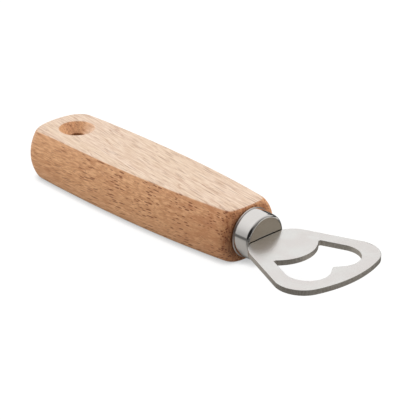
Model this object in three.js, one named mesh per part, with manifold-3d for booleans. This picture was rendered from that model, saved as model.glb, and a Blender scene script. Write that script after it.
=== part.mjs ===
// A bottle opener: a stamped steel blade glued into a turned wooden handle, with a steel ferrule
// over the joint. Millimetres, +Z up. +X runs from the butt of the handle to the tip of the blade.
// The origin is on the plane that the opener lies on, under the middle of its length and width.
//
// Stations along the opener are measured from the ferrule's front face, positive towards the tip,
// and heights from the axis shared by the blade, the ferrule and the handle. One group at the end
// moves everything from there into place.

import * as THREE from "three";
import { mergeVertices } from "three/addons/utils/BufferGeometryUtils.js";
import Module from "manifold-3d";

const wasm = await Module();
wasm.setup();

const degrees = Math.PI / 180;

// Driving dimensions
const overallLength = 160;
const bladeReach = 41.5;
const sheetThickness = 2.1;
const handleThickness = 20.4;
const ferruleRadius = 9.15;
const ferruleLength = 7.6;
const fitGap = 0.3; // left between neighbouring pieces

// Blade: two straight arms that flare from a rounded neck to a blunt curved front
const flareAngle = 22.2 * degrees;
const flareStart = 11.2; // half width of the flare lines where they cross the ferrule's face
const neckRadius = 9.75;
const neckStation = 9.4; // of the centre of the neck arc
const cornerRadius = 10.2;
const frontRadius = 46.7;

// Aperture: a convex lip that lifts the cap, two round lobes and a blunt cusp that bears on its top
const armWidth = 5.45;
const lipReach = 19.55;
const lipRadius = 15.3;
const notchRadius = 0.75;
const lobeReach = 35.25;
const lobeRadius = 8.15;
const cuspReach = 32;
const cuspRadius = 0.8;

// Tang: the narrow tail of the blade, keyed into the adhesive by round notches
const tangWidth = 7.6;
const tangLength = 45;
const tangEndChamfer = 1.5;
const tangNotchRadius = 1.1;
const tangNotchStations = [-34, -24, -14];

// Ferrule: a drawn cup, a little narrower in front, with a bead rolled round its open end
const ferruleWall = 0.8;
const ferruleFrontRadius = 8.85;
const ferruleEdgeRadius = 1.2;
const beadHeight = 0.25;
const beadLength = 0.9;

// Handle: turned all over, fullest towards a bowed butt, then milled flat above and below
const buttRadius = 16.05;
const buttBowRadius = 44;
const buttCornerRadius = 6.4;
const bodyRise = 0.028; // slope of the body where it leaves the butt
const bodyFall = 0.1; // slope of the body where it meets the shoulder
const bodyFullness = 0.35; // share of the body's length that each end slope governs
const shoulderFaceRadius = 10.7; // the flat that the ferrule stands on
const shoulderRise = 2.65;
const shoulderDepth = 4.5;
const tenonFront = -1.5;
const tenonChamfer = 0.6;
const tangBoreRadius = 5.2;
const tangBoreDepth = tangLength + 1.5;

// Hanging hole: a round hole through the handle near the butt, countersunk on both faces
const hangingHoleFromButt = 14.9;
const hangingHoleRadius = 2.8;
const countersinkRadius = 7.2;
const countersinkDepth = 3.1;

// Values worked out from the driving dimensions
const buttStation = bladeReach - overallLength;
const handleHalfThickness = handleThickness / 2;
const shoulderStation = -(ferruleLength + fitGap);

// How finely round shapes are faceted: steps round a turned shape and along each curve
const turnedSegments = 56;
const hangingHoleSegments = 40;
const steps = {
  tangNotch: 8,
  neck: 8,
  corner: 16,
  front: 8,
  lip: 10,
  notch: 6,
  lobe: 16,
  cusp: 4,
  ferruleEdge: 8,
  ferruleInnerEdge: 3,
  bead: 6,
  shoulder: 12,
  body: 24,
  buttCorner: 10,
  bow: 5,
};

const cutterOverlap = 1; // how far a cutter stands out of the piece that it cuts

const vec = (x, y) => new THREE.Vector2(x, y);

/**
 * Points on an arc, both ends included. Angles are in radians, counted from +X towards +Y, and a
 * second radius, along Y, makes it an ellipse.
 */
function arc(centre, radius, from, to, count, radiusY = radius) {
  const points = [];
  for (let i = 0; i <= count; i += 1) {
    const angle = from + ((to - from) * i) / count;
    points.push(vec(centre.x + radius * Math.cos(angle), centre.y + radiusY * Math.sin(angle)));
  }
  return points;
}

/** Where a sloping line y = slope * x + offset meets a circle centred on the axis, on the +X side. */
function lineMeetsCircle(slope, offset, circleX, radius) {
  const a = 1 + slope * slope;
  const b = 2 * (slope * offset - circleX);
  const c = circleX * circleX + offset * offset - radius * radius;
  const x = (-b + Math.sqrt(b * b - 4 * a * c)) / (2 * a);
  return vec(x, slope * x + offset);
}

/** The anticlockwise outline made of a half on the +Y side, rear end first, and its mirror image. */
function mirrored(half) {
  const otherHalf = half.map((point) => vec(point.x, -point.y));
  const joined = [...otherHalf, ...half.toReversed()];
  return joined.filter((point, i) => point.distanceTo(joined[(i + 1) % joined.length]) > 1e-6);
}

/** A closed geometry as a solid that can be joined and cut. */
function solid(geometry) {
  const bare = geometry.clone();
  bare.deleteAttribute("normal");
  bare.deleteAttribute("uv");
  const merged = mergeVertices(bare, 1e-4);
  const mesh = new wasm.Mesh({
    numProp: 3,
    vertProperties: new Float32Array(merged.attributes.position.array),
    triVerts: new Uint32Array(merged.index.array),
  });
  return new wasm.Manifold(mesh);
}

/** A solid back as a geometry with flat facets. */
function geometryOf(cut) {
  const mesh = cut.getMesh();
  const geometry = new THREE.BufferGeometry();
  geometry.setAttribute("position", new THREE.BufferAttribute(mesh.vertProperties, 3));
  geometry.setIndex(new THREE.BufferAttribute(mesh.triVerts, 1));
  const faceted = geometry.toNonIndexed();
  faceted.computeVertexNormals();
  return faceted;
}

/**
 * A profile of (radius, station) points, front end first, turned about the opener's long axis.
 * LatheGeometry faces outwards on a rising profile, so the points go in from the rear.
 */
function turned(profile) {
  const geometry = new THREE.LatheGeometry(profile.toReversed(), turnedSegments);
  geometry.rotateZ(-Math.PI / 2);
  return geometry;
}

/** A flat outline given a thickness, centred on the plane of the blade. */
function plate(outline, holes, thickness) {
  const shape = new THREE.Shape(outline);
  shape.holes = holes.map((hole) => new THREE.Path(hole));
  const geometry = new THREE.ExtrudeGeometry(shape, { depth: thickness, bevelEnabled: false });
  geometry.translate(0, 0, -thickness / 2);
  return geometry;
}

function block(fromX, toX, width, height) {
  const geometry = new THREE.BoxGeometry(toX - fromX, width, height);
  geometry.translate((fromX + toX) / 2, 0, 0);
  return geometry;
}

function piece(name, geometry, material) {
  const mesh = new THREE.Mesh(geometry, material);
  mesh.name = name;
  return mesh;
}

// ---------------------------------------------------------------- blade

/** Half width of the flare line moved in by an inset measured square to it, as slope and offset. */
function flareLine(inset) {
  return { slope: Math.tan(flareAngle), offset: flareStart - inset / Math.cos(flareAngle) };
}

/** Half outline of the tang, from its rear end to the ferrule, grown outwards by a clearance. */
function tangHalf(grow) {
  const halfWidth = tangWidth / 2 + grow;
  const end = -tangLength - grow;
  const notches = tangNotchStations.flatMap((station) =>
    arc(vec(station, halfWidth), tangNotchRadius - grow, Math.PI, 2 * Math.PI, steps.tangNotch),
  );
  return [vec(end, halfWidth - tangEndChamfer), vec(end + tangEndChamfer, halfWidth), ...notches];
}

/** Half outline of the whole blade, from the end of its tang to its tip. */
function bladeHalf() {
  const square = flareAngle + Math.PI / 2; // direction square to the flare line, outwards

  // The neck starts at the ferrule's face and is tangent to the flare line.
  const neckLine = flareLine(neckRadius);
  const neckCentre = vec(neckStation, neckLine.slope * neckStation + neckLine.offset);
  const neckStart = Math.PI - Math.acos((neckStation - fitGap) / neckRadius);

  // The corner is tangent to the flare line and, from inside, to the front arc.
  const cornerLine = flareLine(cornerRadius);
  const frontCentre = bladeReach - frontRadius;
  const cornerCentre = lineMeetsCircle(
    cornerLine.slope,
    cornerLine.offset,
    frontCentre,
    frontRadius - cornerRadius,
  );
  const cornerEnd = Math.atan2(cornerCentre.y, cornerCentre.x - frontCentre);

  return [
    ...tangHalf(0),
    vec(fitGap, tangWidth / 2),
    ...arc(neckCentre, neckRadius, neckStart, square, steps.neck),
    ...arc(cornerCentre, cornerRadius, square, cornerEnd, steps.corner),
    ...arc(vec(frontCentre, 0), frontRadius, cornerEnd, 0, steps.front),
  ];
}

/** Half outline of the aperture, from the lip round the notch and the lobe to the cusp. */
function apertureHalf() {
  const square = flareAngle + Math.PI / 2;

  // The notch is tangent to the lip, from outside, and to the inner edge of the arm.
  const lipCentre = lipReach - lipRadius;
  const notchLine = flareLine(armWidth + notchRadius);
  const notchCentre = lineMeetsCircle(
    notchLine.slope,
    notchLine.offset,
    lipCentre,
    lipRadius + notchRadius,
  );
  const lipEnd = Math.atan2(notchCentre.y, notchCentre.x - lipCentre);

  // The lobe is tangent to the inner edge of the arm.
  const lobeLine = flareLine(armWidth + lobeRadius);
  const lobeX = lobeReach - lobeRadius;
  const lobeCentre = vec(lobeX, lobeLine.slope * lobeX + lobeLine.offset);

  // A straight edge leaves the lobe and meets the blunt tip of the cusp, tangent to both.
  const cuspCentre = vec(cuspReach + cuspRadius, 0);
  const across = cuspCentre.clone().sub(lobeCentre);
  const tangency = Math.acos((lobeRadius + cuspRadius) / across.length());
  const lobeEnd = Math.atan2(across.y, across.x) + tangency;

  return [
    ...arc(vec(lipCentre, 0), lipRadius, 0, lipEnd, steps.lip),
    ...arc(notchCentre, notchRadius, lipEnd + Math.PI, square, steps.notch),
    ...arc(lobeCentre, lobeRadius, square, lobeEnd, steps.lobe),
    ...arc(cuspCentre, cuspRadius, lobeEnd + Math.PI, Math.PI, steps.cusp),
  ];
}

function openerBlade() {
  const geometry = plate(mirrored(bladeHalf()), [mirrored(apertureHalf())], sheetThickness);
  return geometryOf(solid(geometry));
}

// ---------------------------------------------------------------- ferrule

function ferruleShell() {
  const faceRadius = ferruleFrontRadius - ferruleEdgeRadius;
  const edgeCentre = vec(faceRadius, -ferruleEdgeRadius);
  const innerEdgeRadius = ferruleEdgeRadius - ferruleWall;
  const beadCentre = vec(ferruleRadius, beadLength / 2 - ferruleLength);
  return turned([
    vec(0, 0),
    ...arc(edgeCentre, ferruleEdgeRadius, Math.PI / 2, 0, steps.ferruleEdge),
    ...arc(beadCentre, beadHeight, Math.PI / 2, -Math.PI / 2, steps.bead, beadLength / 2),
    vec(ferruleRadius - ferruleWall, -ferruleLength),
    ...arc(edgeCentre, innerEdgeRadius, 0, Math.PI / 2, steps.ferruleInnerEdge),
    vec(0, -ferruleWall),
  ]);
}

/** The drawn cup with a slot through its face for the tang. */
function ferrule() {
  const slotWidth = tangWidth + 2 * fitGap;
  const slotHeight = sheetThickness + 2 * fitGap;
  const slot = block(-ferruleWall - cutterOverlap, cutterOverlap, slotWidth, slotHeight);
  return geometryOf(solid(ferruleShell()).subtract(solid(slot)));
}

// ---------------------------------------------------------------- handle

/** The turned handle as (radius, station) points, from the front of its tenon to its butt. */
function handleProfile() {
  const tenonRadius = ferruleFrontRadius - ferruleWall - fitGap;

  // The shoulder is part of an ellipse that ends where it is tangent to the body.
  const shoulderCentre = vec(shoulderFaceRadius, shoulderStation - shoulderDepth);
  const shoulderEnd = Math.atan((bodyFall * shoulderDepth) / shoulderRise);
  const shoulder = arc(
    shoulderCentre,
    shoulderRise,
    Math.PI / 2,
    shoulderEnd,
    steps.shoulder,
    shoulderDepth,
  );

  // The corner of the butt is tangent to the body and, from inside, to the bow.
  const bowCentre = vec(0, buttStation + buttBowRadius);
  const cornerX = buttRadius - buttCornerRadius;
  const cornerInset = Math.sqrt((buttBowRadius - buttCornerRadius) ** 2 - cornerX ** 2);
  const cornerCentre = vec(cornerX, bowCentre.y - cornerInset);
  const bowEnd = -Math.atan2(cornerInset, cornerX);
  const cornerStart = -Math.atan(bodyRise);
  const corner = arc(cornerCentre, buttCornerRadius, cornerStart, bowEnd, steps.buttCorner);
  const bow = arc(bowCentre, buttBowRadius, bowEnd, -Math.PI / 2, steps.bow);

  // The body is one curve between the two.
  const bodyFront = shoulder.at(-1);
  const bodyRear = corner[0];
  const reach = bodyFullness * (bodyFront.y - bodyRear.y);
  const body = new THREE.CubicBezierCurve(
    bodyFront,
    vec(bodyFront.x + bodyFall * reach, bodyFront.y - reach),
    vec(bodyRear.x + bodyRise * reach, bodyRear.y + reach),
    bodyRear,
  );

  return [
    vec(0, tenonFront),
    vec(tenonRadius - tenonChamfer, tenonFront),
    vec(tenonRadius, tenonFront - tenonChamfer),
    vec(tenonRadius, shoulderStation),
    ...shoulder,
    ...body.getPoints(steps.body).slice(1),
    ...corner.slice(1),
    ...bow.slice(1),
  ];
}

/** What the hanging hole removes: a bore with a conical countersink at each face. */
function hangingHoleCutter() {
  const spread = (countersinkRadius - hangingHoleRadius) / countersinkDepth;
  const upperHalf = [
    vec(hangingHoleRadius, handleHalfThickness - countersinkDepth),
    vec(countersinkRadius + cutterOverlap * spread, handleHalfThickness + cutterOverlap),
    vec(0, handleHalfThickness + cutterOverlap),
  ];
  const lowerHalf = upperHalf.map(({ x, y }) => vec(x, -y)).reverse();
  const geometry = new THREE.LatheGeometry([...lowerHalf, ...upperHalf], hangingHoleSegments);
  geometry.rotateX(Math.PI / 2);
  geometry.translate(buttStation + hangingHoleFromButt, 0, 0);
  return geometry;
}

/** A round rod along the long axis. */
function rod(radius, fromX, toX) {
  return turned([vec(0, toX), vec(radius, toX), vec(radius, fromX), vec(0, fromX)]);
}

/** The turned blank, milled flat above and below, then drilled for the tang and for hanging. */
function handle() {
  const turnedBlank = solid(turned(handleProfile()));
  const slabWidth = 3 * buttRadius; // wider than the blank, so that it only trims its thickness
  const betweenFlats = solid(block(buttStation - cutterOverlap, 0, slabWidth, handleThickness));
  const shaped = turnedBlank.intersect(betweenFlats);
  const drilled = shaped.subtract(solid(rod(tangBoreRadius, -tangBoreDepth, 0)));
  return geometryOf(drilled.subtract(solid(hangingHoleCutter())));
}

// ---------------------------------------------------------------- adhesive

/** The cured adhesive that fills the bore round the tang. */
function tangAdhesive() {
  const plug = solid(rod(tangBoreRadius - fitGap, fitGap - tangBoreDepth, tenonFront));
  const room = [...tangHalf(fitGap), vec(0, tangWidth / 2 + fitGap)];
  const tang = plate(mirrored(room), [], sheetThickness + 2 * fitGap);
  return geometryOf(plug.subtract(solid(tang)));
}

// ---------------------------------------------------------------- assembly

const wood = new THREE.MeshStandardMaterial({ color: 0xcfa27c, roughness: 0.65, metalness: 0 });
const satinSteel = new THREE.MeshStandardMaterial({ color: 0xd8d5d1, roughness: 0.35, metalness: 1 });
const polishedSteel = new THREE.MeshStandardMaterial({ color: 0xdcdad8, roughness: 0.12, metalness: 1 });
const epoxy = new THREE.MeshStandardMaterial({ color: 0xd9c9a0, roughness: 0.3, metalness: 0 });

const opener = new THREE.Group();
opener.add(piece("handle", handle(), wood));
opener.add(piece("ferrule", ferrule(), polishedSteel));
opener.add(piece("opener_blade", openerBlade(), satinSteel));
opener.add(piece("tang_adhesive", tangAdhesive(), epoxy));
opener.position.set(overallLength / 2 - bladeReach, 0, handleHalfThickness);

const group = new THREE.Group();
group.add(opener);

export default group;
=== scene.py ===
"""A bottle opener in a plain studio: a turned rubberwood handle, a ferrule and a stamped blade.

Shapes are worked out in millimetres in the opener's own frame: stations run along the long axis,
zero at the front face of the ferrule and positive towards the tip, and heights are measured from
the axis that the blade, the ferrule and the handle share. make_piece() takes them to the row frame.
"""

import math

import bpy
import numpy as np
from mathutils import Matrix, Vector
from mathutils.geometry import tessellate_polygon


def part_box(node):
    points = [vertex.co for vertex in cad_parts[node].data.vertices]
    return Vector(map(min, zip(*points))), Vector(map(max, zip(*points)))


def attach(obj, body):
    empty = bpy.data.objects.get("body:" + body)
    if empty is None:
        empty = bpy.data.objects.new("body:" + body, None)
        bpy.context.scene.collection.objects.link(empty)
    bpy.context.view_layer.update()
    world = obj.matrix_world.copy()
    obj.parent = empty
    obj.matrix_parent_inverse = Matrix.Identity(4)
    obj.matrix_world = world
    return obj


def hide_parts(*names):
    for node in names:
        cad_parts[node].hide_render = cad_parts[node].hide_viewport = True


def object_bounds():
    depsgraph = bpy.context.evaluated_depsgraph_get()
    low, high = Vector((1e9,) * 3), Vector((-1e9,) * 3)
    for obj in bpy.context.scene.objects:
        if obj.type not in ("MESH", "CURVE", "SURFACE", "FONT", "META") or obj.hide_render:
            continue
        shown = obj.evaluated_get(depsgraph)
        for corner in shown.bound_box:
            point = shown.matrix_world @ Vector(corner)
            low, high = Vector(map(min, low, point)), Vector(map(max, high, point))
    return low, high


MM = 0.001

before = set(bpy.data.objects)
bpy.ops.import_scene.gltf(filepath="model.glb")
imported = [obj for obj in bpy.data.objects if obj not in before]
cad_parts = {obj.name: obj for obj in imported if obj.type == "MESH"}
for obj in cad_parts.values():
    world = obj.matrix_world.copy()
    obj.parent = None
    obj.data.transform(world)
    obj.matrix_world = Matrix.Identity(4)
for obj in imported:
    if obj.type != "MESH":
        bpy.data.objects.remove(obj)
cad_low, cad_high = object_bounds()
scene = bpy.context.scene

# ---------------------------------------------------------------- sizes, in millimetres

FIT_GAP = 0.3
TINY = 1e-6  # keeps divisions finite

# Taken from the CAD frame
blade_low, blade_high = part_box("opener_blade")
ferrule_low, ferrule_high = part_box("ferrule")
handle_low, handle_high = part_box("handle")
FACE_X = ferrule_high.x
AXIS_Z = (ferrule_low.z + ferrule_high.z) / 2
BLADE_REACH = (blade_high.x - FACE_X) / MM
SHEET_THICKNESS = (blade_high.z - blade_low.z) / MM
TANG_LENGTH = (FACE_X - blade_low.x) / MM
FERRULE_LENGTH = (ferrule_high.x - ferrule_low.x) / MM
HANDLE_HALF_THICKNESS = (handle_high.z - handle_low.z) / MM / 2
BUTT_STATION = (handle_low.x - FACE_X) / MM

# Blade
FLARE_ANGLE = math.radians(22.2)
FLARE_START = 11.2
NECK_RADIUS = 9.75
NECK_STATION = 9.4
CORNER_RADIUS = 10.2
FRONT_RADIUS = 46.7
ARM_WIDTH = 5.45
LIP_REACH = 19.55
LIP_RADIUS = 15.3
NOTCH_RADIUS = 0.75
LOBE_REACH = 35.25
LOBE_RADIUS = 8.15
CUSP_REACH = 32
CUSP_RADIUS = 0.8
TANG_WIDTH = 7.6
TANG_END_CHAMFER = 1.5
TANG_NOTCH_RADIUS = 1.1
TANG_NOTCH_STATIONS = (-34, -24, -14)
SHEET_EDGE_RADIUS = 0.16
FACET_MARGIN = 0.001  # keeps these finer arcs inside the coarser ones of the frame
MERGE_DISTANCE = 1e-4  # points of an outline closer than this are one point
MITRE_LIMIT = 0.5

# Ferrule
FERRULE_WALL = 0.8
FERRULE_RADIUS = 9.15
FERRULE_FRONT_RADIUS = 8.85
FERRULE_EDGE_RADIUS = 1.2
FERRULE_POLE_RADIUS = 0.05
FACE_RING_RADII = (FERRULE_POLE_RADIUS, 2, 4, 6)
SLOT_CUTTER_REACH = 1
BEAD_HEIGHT = 0.25
BEAD_LENGTH = 0.9

# Handle
BUTT_RADIUS = 16.05
BUTT_BOW_RADIUS = 44
BUTT_CORNER_RADIUS = 6.4
BUTT_POLE_ANGLE = 0.005
BODY_RISE = 0.028
BODY_FALL = 0.1
BODY_FULLNESS = 0.35
SHOULDER_FACE_RADIUS = 10.7
SHOULDER_RISE = 2.65
SHOULDER_DEPTH = 4.5
SHOULDER_STATION = -(FERRULE_LENGTH + FIT_GAP)
SHOULDER_SEAT_RADIUS = 9.4
TENON_FRONT = -1.5
TENON_CHAMFER = 0.6
TENON_RADIUS = FERRULE_FRONT_RADIUS - FERRULE_WALL - FIT_GAP
TANG_BORE_RADIUS = 5.2
TANG_BORE_DEPTH = TANG_LENGTH + 1.5
TANG_BORE_POLE_RADIUS = 0.05

# The edges between the milled flats and the turned body are sanded, most of all near the butt
FLAT_EDGE_SOFTNESS = 0.85
STEEPEST_SOFTENING = 3
SANDED_LENGTH = 16
BUTT_SANDING = 1.6
NEARLY_UPRIGHT = math.sin(math.radians(86))
EVEN_SHARE = 0.35

# Hanging hole
HOLE_INSET = 14.9
HOLE_STATION = BUTT_STATION + HOLE_INSET
HOLE_RADIUS = 2.8
COUNTERSINK_RADIUS = 7.2
COUNTERSINK_DEPTH = 3.1
RIM_SOFTNESS = 1.0
RIM_END_ANGLE = math.radians(6)
BORE_EDGE_RADIUS = 0.3
CUTTER_OVERLAP = 1.5
CUTTER_POLE_RADIUS = 0.01

# How many straight steps stand for each curve
STEPS = {
    "bow": 14,
    "butt corner": 22,
    "body": 90,
    "shoulder": 22,
    "turned side": 20,
    "milled flat": 14,
    "hole rim": 6,
    "bore edge": 4,
    "hole round": 96,
    "tang notch": 12,
    "neck": 28,
    "corner": 48,
    "front": 24,
    "lip": 36,
    "notch": 12,
    "lobe": 48,
    "cusp": 8,
    "sheet edge": 4,
    "ferrule edge": 14,
    "ferrule inner edge": 6,
    "bead": 16,
    "ferrule round": 144,
}

# ---------------------------------------------------------------- meshes


def arc(centre_x, centre_y, radius, start, end, steps, radius_y=None):
    """Points on an arc, both ends included; a second radius makes it an ellipse."""
    angles = np.linspace(start, end, steps + 1)
    if radius_y is None:
        radius_y = radius
    return [(centre_x + radius * math.cos(a), centre_y + radius_y * math.sin(a)) for a in angles]


def circle_angles(steps):
    """Equally spaced angles round a circle, the first of them zero."""
    return [2 * math.pi * i / steps for i in range(steps)]


def make_piece(name, vertices, faces):
    """A smooth-shaded object from millimetre points in the opener's frame."""
    mesh = bpy.data.meshes.new(name)
    mesh.from_pydata(vertices, [], faces)
    mesh.transform(Matrix.Translation((FACE_X, 0, AXIS_Z)) @ Matrix.Scale(MM, 4))
    mesh.validate()
    mesh.update()
    mesh.shade_smooth()
    obj = bpy.data.objects.new(name, mesh)
    scene.collection.objects.link(obj)
    return obj


def ring_loft(rings):
    """Vertices and faces through rings of equal length, closed by a pole at each end."""
    count = len(rings[0])
    vertices = [point for ring in rings for point in ring]
    faces = []
    for r in range(len(rings) - 1):
        a = r * count
        b = a + count
        for i in range(count):
            j = (i + 1) % count
            faces.append((a + i, a + j, b + j, b + i))
    last_ring = (len(rings) - 1) * count
    for start, flip in ((0, True), (last_ring, False)):
        pole = len(vertices)
        ring = vertices[start : start + count]
        vertices.append(tuple(sum(point[k] for point in ring) / count for k in range(3)))
        for i in range(count):
            j = (i + 1) % count
            a, b = (start + j, start + i) if flip else (start + i, start + j)
            faces.append((a, b, pole))
    return vertices, faces


def cut_away(obj, cutter):
    """Subtracts a cutter from a piece and removes the cutter."""
    cut = obj.modifiers.new("cut", "BOOLEAN")
    cut.operation = "DIFFERENCE"
    cut.solver = "EXACT"
    cut.object = cutter
    bpy.context.view_layer.update()
    evaluated = obj.evaluated_get(bpy.context.evaluated_depsgraph_get())
    mesh = bpy.data.meshes.new_from_object(evaluated)
    obj.modifiers.remove(cut)
    obj.data = mesh
    bpy.data.objects.remove(cutter)


def soften_normals(obj, sharp_angle):
    """Smooth shading broken at edges sharper than an angle in degrees, with flat faces kept flat."""
    mesh = obj.data
    mesh.shade_smooth()
    mesh.set_sharp_from_angle(angle=math.radians(sharp_angle))
    weighted = obj.modifiers.new("flat faces", "WEIGHTED_NORMAL")
    weighted.keep_sharp = True
    weighted.weight = 100


# ---------------------------------------------------------------- handle


def bezier(p0, p1, p2, p3, steps):
    """Points on a cubic curve from p0 to p3, both included."""
    points = []
    for t in np.linspace(0, 1, steps + 1):
        s = 1 - t
        weights = (s**3, 3 * s * s * t, 3 * s * t * t, t**3)
        points.append(tuple(sum(w * p[k] for w, p in zip(weights, (p0, p1, p2, p3))) for k in range(2)))
    return points


def handle_profile():
    """The turned outside as (radius, station) points, from the middle of the butt to the shoulder."""
    shoulder_end = math.atan(BODY_FALL * SHOULDER_DEPTH / SHOULDER_RISE)
    shoulder = arc(
        SHOULDER_FACE_RADIUS,
        SHOULDER_STATION - SHOULDER_DEPTH,
        SHOULDER_RISE,
        shoulder_end,
        math.pi / 2,
        STEPS["shoulder"],
        SHOULDER_DEPTH,
    )
    bow_centre = BUTT_STATION + BUTT_BOW_RADIUS
    corner_x = BUTT_RADIUS - BUTT_CORNER_RADIUS
    corner_inset = math.sqrt((BUTT_BOW_RADIUS - BUTT_CORNER_RADIUS) ** 2 - corner_x**2)
    corner_y = bow_centre - corner_inset
    bow_start = -math.pi / 2 + BUTT_POLE_ANGLE
    bow_end = -math.atan2(corner_inset, corner_x)
    corner_end = -math.atan(BODY_RISE)
    bow = arc(0, bow_centre, BUTT_BOW_RADIUS, bow_start, bow_end, STEPS["bow"])
    corner = arc(corner_x, corner_y, BUTT_CORNER_RADIUS, bow_end, corner_end, STEPS["butt corner"])
    rear, front = corner[-1], shoulder[0]
    reach = BODY_FULLNESS * (front[1] - rear[1])
    after_rear = (rear[0] + BODY_RISE * reach, rear[1] + reach)
    before_front = (front[0] + BODY_FALL * reach, front[1] - reach)
    body = bezier(rear, after_rear, before_front, front, STEPS["body"])
    return bow + corner[1:] + body[1:] + shoulder[1:]


def milled_section(radius, softness):
    """Polar angles and radii of one section: a circle milled flat above and below.

    The points crowd towards the edges of the flats, and a smooth minimum rounds those edges.
    """
    half = HANDLE_HALF_THICKNESS
    edge = math.asin(min(half / radius, NEARLY_UPRIGHT))
    side = np.linspace(0, 1, STEPS["turned side"] + 1)[:-1]
    flat = np.linspace(0, 1, STEPS["milled flat"] + 1)
    crowded_side = EVEN_SHARE * side + (1 - EVEN_SHARE) * np.sin(side * math.pi / 2)
    crowded_flat = EVEN_SHARE * flat + (1 - EVEN_SHARE) * (1 - np.cos(flat * math.pi / 2))
    quarter = np.concatenate([edge * crowded_side, edge + (math.pi / 2 - edge) * crowded_flat])
    halfway = np.concatenate([quarter, math.pi - quarter[-2:0:-1]])
    angles = np.concatenate([halfway, halfway + math.pi])
    to_flat = half / np.maximum(np.abs(np.sin(angles)), TINY)
    blend = np.clip(0.5 + 0.5 * (to_flat - radius) / softness, 0, 1)
    radii = to_flat * (1 - blend) + radius * blend - softness * blend * (1 - blend)
    return angles, radii


def handle_rings():
    """Rings from the butt forwards over the shoulder and the tenon, then back down the bore."""
    profile = handle_profile()
    rings = []
    for i, (radius, station) in enumerate(profile):
        before, after = profile[max(i - 1, 0)], profile[min(i + 1, len(profile) - 1)]
        slope = (after[0] - before[0]) / max(after[1] - before[1], TINY)
        near_butt = max(0, 1 - (station - BUTT_STATION) / SANDED_LENGTH)
        softening = min(STEEPEST_SOFTENING, math.hypot(1, slope)) + BUTT_SANDING * near_butt
        angles, radii = milled_section(radius, FLAT_EDGE_SOFTNESS * softening)
        rings.append([(station, r * math.cos(a), r * math.sin(a)) for a, r in zip(angles, radii)])
    angles = [math.atan2(point[2], point[1]) for point in rings[-1]]
    tenon_and_bore = [
        (SHOULDER_SEAT_RADIUS, SHOULDER_STATION),
        (TENON_RADIUS, SHOULDER_STATION),
        (TENON_RADIUS, TENON_FRONT - TENON_CHAMFER),
        (TENON_RADIUS - TENON_CHAMFER, TENON_FRONT),
        (TANG_BORE_RADIUS, TENON_FRONT),
        (TANG_BORE_RADIUS, -TANG_BORE_DEPTH),
        (TANG_BORE_POLE_RADIUS, -TANG_BORE_DEPTH),
    ]
    for radius, station in tenon_and_bore:
        rings.append([(station, radius * math.cos(a), radius * math.sin(a)) for a in angles])
    return rings


def hole_cutter():
    """A double countersink whose rims flare out, so that the edges it leaves are softened."""
    half = HANDLE_HALF_THICKNESS
    wall_angle = math.atan2(COUNTERSINK_DEPTH, COUNTERSINK_RADIUS - HOLE_RADIUS)
    rim = []
    for turn in np.linspace(wall_angle, RIM_END_ANGLE, STEPS["hole rim"] + 1):
        x = COUNTERSINK_RADIUS + RIM_SOFTNESS * (math.tan(wall_angle / 2) - math.sin(turn))
        z = half - RIM_SOFTNESS * (1 - math.cos(turn))
        rim.append((x, z))
    last_x, last_z = rim[-1]
    rim.append((last_x + CUTTER_OVERLAP, last_z + CUTTER_OVERLAP * math.tan(RIM_END_ANGLE)))
    bore_edge = arc(
        HOLE_RADIUS + BORE_EDGE_RADIUS,
        half - COUNTERSINK_DEPTH - BORE_EDGE_RADIUS,
        BORE_EDGE_RADIUS,
        math.pi,
        math.pi / 2 + wall_angle,
        STEPS["bore edge"],
    )
    upper = bore_edge + rim + [(CUTTER_POLE_RADIUS, rim[-1][1])]
    lower = [(x, -z) for x, z in upper[::-1]]
    rings = []
    for x, z in lower + upper:
        angles = circle_angles(STEPS["hole round"])
        rings.append([(HOLE_STATION + x * math.cos(a), x * math.sin(a), z) for a in angles])
    return make_piece("hole_cutter", *ring_loft(rings))


handle = make_piece("turned_handle", *ring_loft(handle_rings()))
cut_away(handle, hole_cutter())
soften_normals(handle, sharp_angle=40)

# ---------------------------------------------------------------- blade


def flare_line(inset):
    """Slope and offset of the straight side of the blade, moved inwards by an inset."""
    return math.tan(FLARE_ANGLE), FLARE_START - inset / math.cos(FLARE_ANGLE)


def line_meets_circle(slope, offset, circle_x, radius):
    """Where y = slope * x + offset meets a circle centred on the axis, on the +X side."""
    a = 1 + slope * slope
    b = 2 * (slope * offset - circle_x)
    c = circle_x**2 + offset**2 - radius**2
    x = (-b + math.sqrt(b * b - 4 * a * c)) / (2 * a)
    return x, slope * x + offset


def tang_half():
    """The +Y side of the tang, from its chamfered end past its round notches."""
    half = TANG_WIDTH / 2
    points = [(-TANG_LENGTH, half - TANG_END_CHAMFER), (TANG_END_CHAMFER - TANG_LENGTH, half)]
    for station in TANG_NOTCH_STATIONS:
        points += arc(station, half, TANG_NOTCH_RADIUS, math.pi, 2 * math.pi, STEPS["tang notch"])
    return points


def blade_half():
    """The +Y side of the outside: tang, concave neck, straight flare, corner and bowed front."""
    square = FLARE_ANGLE + math.pi / 2
    slope, offset = flare_line(NECK_RADIUS)
    neck_y = slope * NECK_STATION + offset
    neck_start = math.pi - math.acos((NECK_STATION - FIT_GAP) / NECK_RADIUS)
    slope, offset = flare_line(CORNER_RADIUS)
    front_centre = BLADE_REACH - FRONT_RADIUS
    corner = line_meets_circle(slope, offset, front_centre, FRONT_RADIUS - CORNER_RADIUS)
    corner_end = math.atan2(corner[1], corner[0] - front_centre)
    return (
        tang_half()
        + [(FIT_GAP, TANG_WIDTH / 2)]
        + arc(NECK_STATION, neck_y, NECK_RADIUS, neck_start, square, STEPS["neck"])
        + arc(*corner, CORNER_RADIUS, square, corner_end, STEPS["corner"])
        + arc(front_centre, 0, FRONT_RADIUS, corner_end, 0, STEPS["front"])
    )


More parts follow.
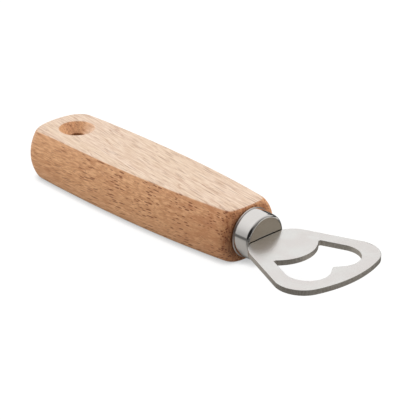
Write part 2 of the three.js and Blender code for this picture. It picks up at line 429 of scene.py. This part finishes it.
def aperture_half():
    """The +Y side of the aperture: convex lip, notch beside it, lobe and cusp."""
    square = FLARE_ANGLE + math.pi / 2
    lip_centre = LIP_REACH - LIP_RADIUS
    slope, offset = flare_line(ARM_WIDTH + NOTCH_RADIUS)
    notch = line_meets_circle(slope, offset, lip_centre, LIP_RADIUS + NOTCH_RADIUS)
    lip_end = math.atan2(notch[1], notch[0] - lip_centre)
    slope, offset = flare_line(ARM_WIDTH + LOBE_RADIUS)
    lobe_x = LOBE_REACH - LOBE_RADIUS
    lobe_y = slope * lobe_x + offset
    cusp_x = CUSP_REACH + CUSP_RADIUS
    across_x, across_y = cusp_x - lobe_x, -lobe_y
    tangency = math.acos((LOBE_RADIUS + CUSP_RADIUS) / math.hypot(across_x, across_y))
    lobe_end = math.atan2(across_y, across_x) + tangency
    return (
        arc(lip_centre, 0, LIP_RADIUS, 0, lip_end, STEPS["lip"])
        + arc(*notch, NOTCH_RADIUS, lip_end + math.pi, square, STEPS["notch"])
        + arc(lobe_x, lobe_y, LOBE_RADIUS, square, lobe_end, STEPS["lobe"])
        + arc(cusp_x, 0, CUSP_RADIUS, lobe_end + math.pi, math.pi, STEPS["cusp"])
    )


def mirrored(half):
    """The anticlockwise outline made of a half on the +Y side, rear end first, and its mirror."""
    joined = [(x, -y) for x, y in half] + half[::-1]
    kept = []
    for point in joined:
        if not kept or math.dist(point, kept[-1]) > MERGE_DISTANCE:
            kept.append(point)
    if math.dist(kept[0], kept[-1]) < MERGE_DISTANCE:
        kept.pop()
    return np.array(kept)


def inset_outline(outline, distance):
    """The outline moved to its left, which is inwards for an anticlockwise outline."""
    before = outline - np.roll(outline, 1, axis=0)
    after = np.roll(outline, -1, axis=0) - outline
    before /= np.linalg.norm(before, axis=1)[:, None]
    after /= np.linalg.norm(after, axis=1)[:, None]
    left_before = np.column_stack([-before[:, 1], before[:, 0]])
    left_after = np.column_stack([-after[:, 1], after[:, 0]])
    mitre = left_before + left_after
    mitre /= np.maximum(np.sum(mitre * left_before, axis=1), MITRE_LIMIT)[:, None]
    return outline + mitre * distance


def sheet_levels():
    """Insets and heights of the outlines that round the sheet's two edges, from the bottom up."""
    half = SHEET_THICKNESS / 2
    radius = SHEET_EDGE_RADIUS
    lower = []
    for angle in np.linspace(0, math.pi / 2, STEPS["sheet edge"] + 1):
        lower.append((radius * (1 - math.sin(angle)), -half + radius * (1 - math.cos(angle))))
    return lower + [(inset, -z) for inset, z in lower[::-1]]


def blade_mesh():
    """The stamped plate: rounded walls round both outlines, and a flat face below and above."""
    outlines = [mirrored(blade_half()), mirrored(aperture_half())[::-1]]
    levels = sheet_levels()
    vertices, faces = [], []
    rims_of_face = {0: [], len(levels) - 1: []}
    for outline in outlines:
        count = len(outline)
        for index, (inset, z) in enumerate(levels):
            start = len(vertices)
            vertices += [(x, y, z) for x, y in inset_outline(outline, inset + FACET_MARGIN)]
            if index in rims_of_face:
                rims_of_face[index].append(list(range(start, start + count)))
            if index:
                for i in range(count):
                    j = (i + 1) % count
                    faces.append((start - count + i, start - count + j, start + j, start + i))
    for index, rims in rims_of_face.items():
        corners = [corner for rim in rims for corner in rim]
        flat = [[Vector((*vertices[corner][:2], 0)) for corner in rim] for rim in rims]
        for triangle in tessellate_polygon(flat):
            a, b, c = (Vector(vertices[corners[i]]) for i in triangle)
            upward = (b - a).cross(c - a).z > 0
            order = triangle if upward == (index > 0) else triangle[::-1]
            faces.append(tuple(corners[i] for i in order))
    return vertices, faces


blade = make_piece("stamped_blade", *blade_mesh())
soften_normals(blade, sharp_angle=50)

# ---------------------------------------------------------------- ferrule


def ferrule_profile():
    """The cup as (radius, station) points: face, rounded edge, wall with its bead, and inside."""
    face = FERRULE_FRONT_RADIUS - FERRULE_EDGE_RADIUS
    inner_edge = FERRULE_EDGE_RADIUS - FERRULE_WALL
    outer = arc(face, -FERRULE_EDGE_RADIUS, FERRULE_EDGE_RADIUS, math.pi / 2, 0, STEPS["ferrule edge"])
    inner = arc(face, -FERRULE_EDGE_RADIUS, inner_edge, 0, math.pi / 2, STEPS["ferrule inner edge"])
    bead = arc(
        FERRULE_RADIUS,
        BEAD_LENGTH / 2 - FERRULE_LENGTH,
        BEAD_HEIGHT,
        math.pi / 2,
        -math.pi / 2,
        STEPS["bead"],
        BEAD_LENGTH / 2,
    )
    return (
        [(radius, 0) for radius in FACE_RING_RADII]
        + outer
        + bead
        + [(FERRULE_RADIUS - FERRULE_WALL, -FERRULE_LENGTH)]
        + inner
        + [(FERRULE_POLE_RADIUS, -FERRULE_WALL)]
    )


def turned_rings(profile, steps):
    """Rings round the long axis through the (radius, station) points of a profile."""
    angles = circle_angles(steps)
    return [[(station, r * math.cos(a), r * math.sin(a)) for a in angles] for r, station in profile]


def block_mesh(low, high):
    """A box between two corners, for cutting."""
    (x0, y0, z0), (x1, y1, z1) = low, high
    section = [(y0, z0), (y1, z0), (y1, z1), (y0, z1)]
    vertices = [(x, y, z) for x in (x0, x1) for y, z in section]
    faces = [(3, 2, 1, 0), (4, 5, 6, 7)]
    faces += [(i, (i + 1) % 4, (i + 1) % 4 + 4, i + 4) for i in range(4)]
    return vertices, faces


def slot_cutter():
    """The slot in the ferrule's face that the tang passes through."""
    slot_y = TANG_WIDTH / 2 + FIT_GAP
    slot_z = SHEET_THICKNESS / 2 + FIT_GAP
    low = (-2 * FERRULE_WALL, -slot_y, -slot_z)
    high = (SLOT_CUTTER_REACH, slot_y, slot_z)
    return make_piece("slot_cutter", *block_mesh(low, high))


ferrule_rings = turned_rings(ferrule_profile(), STEPS["ferrule round"])
ferrule = make_piece("ferrule_cup", *ring_loft(ferrule_rings[::-1]))
cut_away(ferrule, slot_cutter())
soften_normals(ferrule, sharp_angle=35)

# ---------------------------------------------------------------- node helpers


class Nodes:
    """Short calls for building a node tree."""

    def __init__(self, tree):
        self.tree = tree

    def add(self, kind, inputs=(), **settings):
        node = self.tree.nodes.new(kind)
        for key, value in settings.items():
            setattr(node, key, value)
        for key, value in dict(inputs).items():
            self.put(node.inputs[key], value)
        return node

    def put(self, socket, value):
        """Links another node's output to a socket, or sets the socket's own value."""
        if isinstance(value, bpy.types.NodeSocket):
            self.tree.links.new(value, socket)
        else:
            socket.default_value = value

    def surface(self, shader):
        """Makes a shader node the material's surface."""
        self.put(self.tree.nodes["Material Output"].inputs[0], shader.outputs[0])

    def math(self, operation, a, b=0.0, clamp=False):
        node = self.add("ShaderNodeMath", {0: a, 1: b}, operation=operation, use_clamp=clamp)
        return node.outputs[0]

    def times(self, a, b):
        return self.math("MULTIPLY", a, b)

    def xyz(self, vector):
        return self.add("ShaderNodeSeparateXYZ", {0: vector}).outputs

    def dot(self, a, b):
        node = self.add("ShaderNodeVectorMath", {0: a, 1: b}, operation="DOT_PRODUCT")
        return node.outputs["Value"]

    def stretch(self, vector, scale):
        return self.add("ShaderNodeMapping", {"Vector": vector, "Scale": scale}).outputs[0]

    def millimetres(self):
        """Places on the piece, in millimetres of the row frame."""
        place = self.add("ShaderNodeTexCoord").outputs["Object"]
        return self.stretch(place, (1 / MM, 1 / MM, 1 / MM))

    def normal(self):
        return self.add("ShaderNodeNewGeometry").outputs["Normal"]

    def noise(self, vector, scale, detail=4, roughness=0.55, distortion=0):
        inputs = {
            "Vector": vector,
            "Scale": scale,
            "Detail": detail,
            "Roughness": roughness,
            "Distortion": distortion,
        }
        return self.add("ShaderNodeTexNoise", inputs).outputs[0]

    def range(self, value, low, high, to_low=0.0, to_high=1.0, smooth=True):
        """Takes low..high to to_low..to_high and holds the ends."""
        node = self.add(
            "ShaderNodeMapRange",
            {0: value, 1: low, 2: high, 3: to_low, 4: to_high},
            interpolation_type="SMOOTHSTEP" if smooth else "LINEAR",
        )
        return node.outputs[0]

    def mix(self, factor, a, b, blend="MIX"):
        """A mix of two colours."""
        node = self.add("ShaderNodeMix", data_type="RGBA", blend_type=blend)
        for index, value in ((0, factor), (6, a), (7, b)):
            self.put(node.inputs[index], value)
        return node.outputs[2]

    def between(self, factor, a, b):
        """A mix of two numbers."""
        return self.add("ShaderNodeMix", {0: factor, 2: a, 3: b}).outputs[0]

    def worn_edges(self, radius):
        """A mask of the edges that handling rubs first, 1 along an edge and 0 on a flat face."""
        rounded = self.add("ShaderNodeBevel", {"Radius": radius}, samples=6).outputs[0]
        return self.range(self.dot(rounded, self.normal()), 0.995, 0.9)

    def openness(self, distance, only_local=False):
        """How open the surroundings are within a distance, 0 in a closed corner and 1 in the open."""
        node = self.add("ShaderNodeAmbientOcclusion", {"Distance": distance}, samples=8)
        node.only_local = only_local
        return node.outputs["AO"]

    def bump(self, height, distance, strength=1.0, normal=None):
        node = self.add("ShaderNodeBump", {"Height": height, "Distance": distance, "Strength": strength})
        if normal is not None:
            self.put(node.inputs["Normal"], normal)
        return node.outputs[0]


def new_material(name):
    """A material with one Principled shader, and the means to add to it."""
    material = bpy.data.materials.new(name)
    material.use_nodes = True
    tree = material.node_tree
    tree.nodes.clear()
    nodes = Nodes(tree)
    shader = nodes.add("ShaderNodeBsdfPrincipled")
    nodes.add("ShaderNodeOutputMaterial")
    nodes.surface(shader)
    return material, nodes, shader


def rgb(r, g, b):
    """A linear colour from 0 to 255 display values."""
    linear = [((c / 255 + 0.055) / 1.055) ** 2.4 if c > 10 else c / 255 / 12.92 for c in (r, g, b)]
    return (*linear, 1)


# ---------------------------------------------------------------- wood

# How far the grain is turned from the handle's long axis
GRAIN_TURN = (0, math.radians(3.5), math.radians(8))

# Lit and shaded copies of one wood: painted light for the flats that face up, painted shade for the
# sides
LIT_FLAT_WOOD = {
    "groove": rgb(211, 181, 157),
    "ridge": rgb(236, 214, 194),
    "streak": rgb(200, 166, 142),
    "band": rgb(226, 202, 174),
}
SHADED_SIDE_WOOD = {
    "groove": rgb(190, 137, 96),
    "ridge": rgb(226, 175, 130),
    "streak": rgb(180, 122, 82),
    "band": rgb(206, 154, 112),
}
# Redder and mottling colours for the front of the sides: partly the wood's own, partly painted shade on
# the near shoulder
FLUSH_AND_SHADE_WOOD = rgb(178, 116, 76)
MOTTLE_AND_SHADE_COLOURS = (rgb(150, 84, 52), rgb(206, 146, 102))
RING_COLOUR = rgb(168, 116, 84)
PORE_COLOUR = rgb(122, 68, 42)
WORN_WOOD = rgb(232, 194, 156)


def wood_grain(n, millimetres):
    """The patterns of the grain, each from 0 to 1 and drawn out along it."""
    along = n.add("ShaderNodeMapping", {"Vector": millimetres, "Rotation": GRAIN_TURN}).outputs[0]
    rings = n.noise(n.stretch(along, (0.012, 0.28, 0.28)), 1, 2, 0.5)
    vessel = n.add("ShaderNodeTexVoronoi", {"Vector": n.stretch(along, (0.06, 1.5, 1.5)), "Scale": 1})
    vessel_size = n.add("ShaderNodeSeparateColor", {0: vessel.outputs["Color"]}).outputs[0]
    vessel_wall = n.math("SUBTRACT", vessel.outputs["Distance"], n.times(vessel_size, 0.42))
    return {
        "pores": n.range(vessel_wall, 0.06, -0.06),
        "fibre": n.noise(n.stretch(along, (0.1, 2.0, 2.0)), 1, 4, 0.6),
        "streaks": n.noise(n.stretch(along, (0.025, 0.8, 0.8)), 1, 3, 0.55, 0.3),
        "bands": n.noise(n.stretch(along, (0.012, 0.16, 0.16)), 1, 3, 0.5),
        "ring": n.range(n.math("ABSOLUTE", n.math("SUBTRACT", rings, 0.5)), 0.012, 0.0),
    }


def lit_flat_wood(n, grain):
    """The colour of the milled flats: the wood painted lit and paler, with the sheen they catch."""
    colour = n.mix(n.range(grain["fibre"], 0.35, 0.65), LIT_FLAT_WOOD["groove"], LIT_FLAT_WOOD["ridge"])
    colour = n.mix(n.times(n.range(grain["streaks"], 0.5, 0.68), 0.17), colour, LIT_FLAT_WOOD["streak"])
    return n.mix(n.times(n.range(grain["bands"], 0.42, 0.62), 0.3), colour, LIT_FLAT_WOOD["band"])


def shaded_side_wood(n, grain, millimetres, normal):
    """The colour of the turned sides: the wood painted shaded and darker, redder towards the front and
    with mottling where they face it, partly the wood's own and partly painted shade.
    """
    colour = n.mix(n.range(grain["fibre"], 0.35, 0.65), SHADED_SIDE_WOOD["groove"], SHADED_SIDE_WOOD["ridge"])
    colour = n.mix(n.times(n.range(grain["streaks"], 0.48, 0.66), 0.5), colour, SHADED_SIDE_WOOD["streak"])
    colour = n.mix(n.times(n.range(grain["bands"], 0.4, 0.62), 0.4), colour, SHADED_SIDE_WOOD["band"])
    station = n.xyz(millimetres)[0]
    # Reddening towards the front, strongest on faces turned to the near side: partly the wood's colour,
    # partly painted shade
    flush_and_shade = n.times(n.range(station, -10, 34), n.range(grain["streaks"], 0.3, 0.6, 0.15, 0.6))
    flush_and_shade = n.times(flush_and_shade, n.range(normal[1], 0.3, -0.1, 0.2, 1))
    colour = n.mix(flush_and_shade, colour, FLUSH_AND_SHADE_WOOD)
    # Mottling on faces that look forwards and not to the far side: partly the wood's own, partly painted
    # shade on the near shoulder
    mottle = n.noise(n.stretch(millimetres, (0.25, 0.9, 0.35)), 1, 3, 0.6, 0.4)
    mottle_and_shade = n.mix(n.range(mottle, 0.4, 0.62), *MOTTLE_AND_SHADE_COLOURS)
    front_shade_mask = n.times(n.range(normal[0], 0.25, 0.8), n.range(normal[1], 0.3, -0.1, 0.12, 0.6))
    return n.mix(front_shade_mask, colour, mottle_and_shade)


def wood_material():
    """Fine-grained wood: pale on the milled flats, darker and with stronger pores on the sides, the two
    tones being painted light and painted shade of one wood.
    """
    material, n, shader = new_material("oiled rubberwood")
    millimetres = n.millimetres()
    grain = wood_grain(n, millimetres)
    normal = n.xyz(n.normal())
    upright = n.math("ABSOLUTE", normal[2])
    # Faces tilted towards the front take more of the shaded tone and faces tilted back more of the lit
    # one: painted shade from the light above the butt
    front_facing_shade = n.times(n.times(normal[0], upright), 1.1)
    side = n.math("ADD", n.range(upright, 0.96, 0.72), front_facing_shade, clamp=True)

    colour = n.mix(side, lit_flat_wood(n, grain), shaded_side_wood(n, grain, millimetres, normal))
    colour = n.mix(n.times(grain["ring"], 0.45), colour, RING_COLOUR)
    pore_depth = n.times(grain["pores"], n.range(side, 0, 1, 0.34, 0.85))
    pore_depth = n.times(pore_depth, n.range(n.xyz(millimetres)[0], -75, -10, 0.5, 1))
    colour = n.mix(pore_depth, colour, PORE_COLOUR)
    worn = n.worn_edges(0.001)
    colour = n.mix(n.times(worn, 0.3), colour, WORN_WOOD)
    # Painted shade in the hanging hole: the bore and the countersink darken where the wood closes round
    # them
    shade = n.range(n.openness(0.006, only_local=True), 0.15, 0.65, 0.25, 1)
    grey = n.add("ShaderNodeCombineColor", {0: shade, 1: shade, 2: shade}).outputs[0]
    n.put(shader.inputs["Base Color"], n.mix(1, colour, grey, "MULTIPLY"))

    sheen = n.math("SUBTRACT", n.range(grain["fibre"], 0.2, 0.8, 0.66, 0.5), n.times(worn, 0.12))
    n.put(shader.inputs["Roughness"], sheen)
    n.put(shader.inputs["IOR"], 1.45)
    height = n.math("SUBTRACT", n.times(grain["fibre"], 0.4), n.times(grain["pores"], 0.6))
    n.put(shader.inputs["Normal"], n.bump(height, 0.00008, 0.6))
    return material


# ---------------------------------------------------------------- metals and adhesive

# Painted shade for the narrow gaps where the steel parts meet
STEEL_GAP_SHADE = rgb(84, 78, 70)
HAZE_SHARE = 0.12
HAZE_ROUGHNESS = 0.75


def blade_colour(n, edge, tumble, cloud, shear):
    """Faintly clouded steel on the faces and greyer where the sheet was sheared, with painted shade in
    the gap at the ferrule.
    """
    face = n.mix(n.range(cloud, 0.35, 0.65), rgb(235, 231, 229), rgb(239, 239, 237))
    face = n.mix(n.times(n.range(tumble, 0.4, 0.7), 0.5), face, rgb(226, 223, 220))
    sheared = n.mix(n.range(shear, 0.35, 0.65), rgb(200, 193, 183), rgb(230, 225, 218))
    colour = n.mix(edge, face, sheared)
    colour = n.mix(n.times(n.worn_edges(0.0003), 0.5), colour, rgb(240, 238, 236))
    # Painted shade along the gap where the blade meets the ferrule
    return n.mix(n.range(n.openness(0.001), 0.3, 0.55), STEEL_GAP_SHADE, colour)


def blade_material():
    """Tumbled sheet: a satin reflection and a little haze, rougher on the sheared edges."""
    material, n, shader = new_material("satin stainless sheet")
    millimetres = n.millimetres()
    edge = n.range(n.math("ABSOLUTE", n.xyz(n.normal())[2]), 0.8, 0.4)
    tumble = n.noise(n.stretch(millimetres, (1, 2.5, 1)), 1.6, 4, 0.6)
    cloud = n.noise(millimetres, 0.12, 3, 0.5)
    shear = n.noise(n.stretch(millimetres, (5, 5, 0.4)), 1, 3, 0.6)
    colour = blade_colour(n, edge, tumble, cloud, shear)
    n.put(shader.inputs["Base Color"], colour)
    n.put(shader.inputs["Metallic"], 1.0)
    face_roughness = n.range(tumble, 0.3, 0.7, 0.22, 0.26)
    edge_roughness = n.range(shear, 0.3, 0.7, 0.3, 0.5)
    n.put(shader.inputs["Roughness"], n.between(edge, face_roughness, edge_roughness))
    relief = n.bump(tumble, 0.000002, 0.5)
    relief = n.bump(n.times(shear, edge), 0.00002, 0.5, relief)
    n.put(shader.inputs["Normal"], relief)
    haze_inputs = {"Color": colour, "Roughness": HAZE_ROUGHNESS, "Normal": relief}
    haze = n.add("ShaderNodeBsdfAnisotropic", haze_inputs).outputs[0]
    n.surface(n.add("ShaderNodeMixShader", {0: HAZE_SHARE, 1: shader.outputs[0], 2: haze}))
    return material


def ferrule_material():
    """Polished on the wall, satin on the face and the bead, with painted shade in the groove by the bead
    and where it meets the other parts.
    """
    material, n, shader = new_material("polished ferrule steel")
    millimetres = n.millimetres()
    drawn = n.noise(n.stretch(millimetres, (2.5, 0.5, 0.5)), 1, 4, 0.6)
    face = n.range(n.xyz(n.normal())[0], 0.96, 0.995)
    wall_colour = n.mix(drawn, rgb(222, 219, 216), rgb(232, 230, 228))
    face_colour = n.mix(drawn, rgb(193, 182, 166), rgb(203, 192, 176))
    colour = n.mix(face, wall_colour, face_colour)
    colour = n.mix(n.times(n.worn_edges(0.0005), 0.4), colour, rgb(238, 237, 236))
    # Painted shade where the ferrule meets the blade and the wood
    colour = n.mix(n.range(n.openness(0.001), 0.3, 0.55), STEEL_GAP_SHADE, colour)
    groove = ferrule_low.x / MM + BEAD_LENGTH
    station = n.xyz(millimetres)[0]
    # Painted shade in the groove in front of the bead
    groove_shade = n.range(n.math("ABSOLUTE", n.math("SUBTRACT", station, groove)), 0.3, 0.05, 0, 0.45)
    n.put(shader.inputs["Base Color"], n.mix(groove_shade, colour, rgb(112, 104, 96)))
    n.put(shader.inputs["Metallic"], 1.0)
    wall_roughness = n.range(drawn, 0.3, 0.7, 0.07, 0.11)
    bead_roughness = n.range(station, groove, groove + 0.3, 0.28, 0)
    wall_roughness = n.math("ADD", wall_roughness, bead_roughness)
    n.put(shader.inputs["Roughness"], n.between(face, wall_roughness, 0.24))
    n.put(shader.inputs["Normal"], n.bump(drawn, 0.000005, 0.5))
    return material


def epoxy_material():
    """Cloudy adhesive that lets a little light through."""
    material, n, shader = new_material("cured epoxy")
    cloud = n.noise(n.millimetres(), 0.4, 4, 0.6)
    colour = n.mix(cloud, rgb(205, 188, 140), rgb(222, 208, 168))
    colour = n.mix(n.times(n.worn_edges(0.0003), 0.4), colour, rgb(236, 228, 202))
    n.put(shader.inputs["Base Color"], colour)
    n.put(shader.inputs["Roughness"], n.range(cloud, 0.3, 0.7, 0.2, 0.35))
    n.put(shader.inputs["Transmission Weight"], 0.3)
    n.put(shader.inputs["Normal"], n.bump(cloud, 0.0001, 0.4))
    return material


def dress(obj, material):
    """Gives an object this material and no other."""
    obj.data.materials.clear()
    obj.data.materials.append(material)


dress(handle, wood_material())
dress(blade, blade_material())
dress(ferrule, ferrule_material())
dress(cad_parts["tang_adhesive"], epoxy_material())

for piece, node, slot in (
    (handle, "handle", "handle_wood"),
    (ferrule, "ferrule", "ferrule_steel"),
    (blade, "opener_blade", "blade_steel"),
):
    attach(piece, "root")
    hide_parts(node)

# ---------------------------------------------------------------- studio, in metres

FLOOR_REACH = 3
FLOOR_CLEARANCE = 0.0001
CONTACT_DISTANCE = 0.0036
CAMERA_AZIMUTH = math.radians(46.582)
CAMERA_ELEVATION = math.radians(25.78)
CAMERA_DISTANCE = 595.84 * MM
CAMERA_AIM = Vector((9.61, 0.38, 0.9)) * MM  # from the middle of the CAD box

# Blender takes these two in millimetres
LENS = 141.3
SENSOR_WIDTH = 36

DARK_SKY = (0.03, 0.03, 0.03, 1)


def floor_bounce(n):
    """The light that the floor gives back to the opener, by place."""
    place = n.add("ShaderNodeNewGeometry").outputs["Position"]

    def along(x, y, near, far, low, high):
        """A value that goes from low to high between two distances along a direction."""
        return n.range(n.dot(place, (x, y, 0)), near, far, low, high)

    toward_camera = along(0.7, -0.7, 0.032, 0.056, 0.38, 0.1)
    near_side = along(0, -1, 0.05, 0.09, 1, 0.02)
    far_side = along(0, 1, 0.014, 0.035, 1, 0.03)
    beyond_tip = along(0.75, 0.65, 0.08, 0.12, 0, 0.5)
    bounce = n.times(n.times(toward_camera, near_side), far_side)
    return n.math("ADD", bounce, beyond_tip)


def floor_material():
    """A white sweep that glows to the camera and a dimmer glowing floor in reflections, with a painted
    contact shadow in both.
    """
    material, n, shader = new_material("white sweep")
    for_camera = n.add("ShaderNodeLightPath").outputs["Is Camera Ray"]
    # Painted contact shadow: the glow dims where the opener closes in
    openness = n.openness(CONTACT_DISTANCE)
    bounce = n.times(floor_bounce(n), n.range(openness, 0.05, 0.8, 0.03, 1, smooth=False))
    sweep = n.range(openness, 0.1, 0.75, 0.45, 0.95, smooth=False)
    n.put(shader.inputs["Base Color"], (0.1, 0.098, 0.094, 1))
    n.put(shader.inputs["Roughness"], 0.9)
    n.put(shader.inputs["Specular IOR Level"], 0.1)
    tint = n.mix(for_camera, (1, 0.975, 0.935, 1), (1, 1, 1, 1))
    n.put(shader.inputs["Emission Color"], tint)
    n.put(shader.inputs["Emission Strength"], n.between(for_camera, bounce, sweep))
    from_below = n.add("ShaderNodeNewGeometry").outputs["Backfacing"]
    clear = n.add("ShaderNodeBsdfTransparent").outputs[0]
    n.surface(n.add("ShaderNodeMixShader", {0: from_below, 1: shader.outputs[0], 2: clear}))
    return material


def add_floor():
    """A square of floor just under the opener."""
    mesh = bpy.data.meshes.new("floor")
    signs = ((-1, -1), (1, -1), (1, 1), (-1, 1))
    corners = [(x * FLOOR_REACH, y * FLOOR_REACH, 0) for x, y in signs]
    mesh.from_pydata(corners, [], [(0, 1, 2, 3)])
    floor = bpy.data.objects.new("floor", mesh)
    scene.collection.objects.link(floor)
    floor.location.z = cad_low.z - FLOOR_CLEARANCE
    dress(floor, floor_material())


def add_softbox(name, location, size, power):
    """A soft rectangular light aimed at the origin and left out of sharp reflections."""
    light = bpy.data.lights.new(name, "AREA")
    light.shape = "RECTANGLE"
    light.size, light.size_y = size
    light.energy = power
    obj = bpy.data.objects.new(name, light)
    scene.collection.objects.link(obj)
    obj.location = location
    obj.visible_glossy = False
    obj.rotation_euler = Vector(location).to_track_quat("Z", "Y").to_euler()


def add_world():
    """A sky whose bright and dark parts only the opener sees, and that is white to the camera."""
    world = bpy.data.worlds.new("studio")
    scene.world = world
    world.use_nodes = True
    tree = world.node_tree
    tree.nodes.clear()
    n = Nodes(tree)
    direction = n.add("ShaderNodeTexCoord").outputs["Generated"]

    def toward(x, y, z, edge, core):
        """A soft patch of the sky, 1 at its middle, between two cosines."""
        return n.range(n.dot(direction, Vector((x, y, z)).normalized()), edge, core)

    # Bright above the butt, on the far side
    sky = n.mix(toward(-0.75, 0.35, 0.55, -0.4, 0.8), (0.22, 0.21, 0.2, 1), (1.04, 1.03, 1.02, 1))

    # Dark on the near side, where the camera stands
    squashed = n.stretch(direction, (1, 1, 1.5))
    squashed = n.add("ShaderNodeVectorMath", {0: squashed}, operation="NORMALIZE").outputs[0]
    camera_side = n.dot(squashed, Vector((0.4, -0.9, 0.225)).normalized())
    sky = n.mix(n.range(camera_side, 0.5, 0.8), sky, (0.02, 0.02, 0.021, 1))

    # Dark at the horizon and in a patch low on the far side, with a lighter patch beyond the tip
    height = n.dot(direction, (0, -0.1, 1))
    sky = n.mix(n.range(height, 0.12, 0.05), sky, DARK_SKY)
    sky = n.mix(toward(-0.25, 0.93, 0.2, 0.92, 0.96), sky, DARK_SKY)
    sky = n.mix(toward(0.8, 0.6, 0, 0.93, 0.97), sky, (0.7, 0.69, 0.67, 1))

    for_camera = n.add("ShaderNodeLightPath").outputs["Is Camera Ray"]
    sky = n.mix(for_camera, sky, (1.12, 1.12, 1.12, 1))
    background = n.add("ShaderNodeBackground", {"Color": sky, "Strength": 0.9})
    output = n.add("ShaderNodeOutputWorld")
    tree.links.new(background.outputs[0], output.inputs[0])


def add_camera():
    """A camera at the photo's angle, with azimuths counted from -Y towards +X."""
    back = Vector(
        (
            math.sin(CAMERA_AZIMUTH) * math.cos(CAMERA_ELEVATION),
            -math.cos(CAMERA_AZIMUTH) * math.cos(CAMERA_ELEVATION),
            math.sin(CAMERA_ELEVATION),
        )
    )
    data = bpy.data.cameras.new("camera")
    data.sensor_width = SENSOR_WIDTH
    data.lens = LENS
    data.clip_start, data.clip_end = 0.01, 20
    camera = bpy.data.objects.new("camera", data)
    scene.collection.objects.link(camera)
    camera.location = (cad_low + cad_high) / 2 + CAMERA_AIM + back * CAMERA_DISTANCE
    camera.rotation_euler = back.to_track_quat("Z", "Y").to_euler()
    scene.camera = camera


add_floor()
add_world()
add_softbox("overhead", (-0.3, 0.3, 0.8), (0.9, 0.9), 2.5)
add_softbox("front fill", (-0.35, -0.7, 0.25), (0.7, 0.5), 4.0)
add_softbox("rear fill", (0.5, 0.8, 0.2), (0.6, 0.5), 5)
add_softbox("nose fill", (0.75, 0.2, 0.3), (0.5, 0.5), 1.6)
add_camera()
scene.view_settings.view_transform = "Standard"
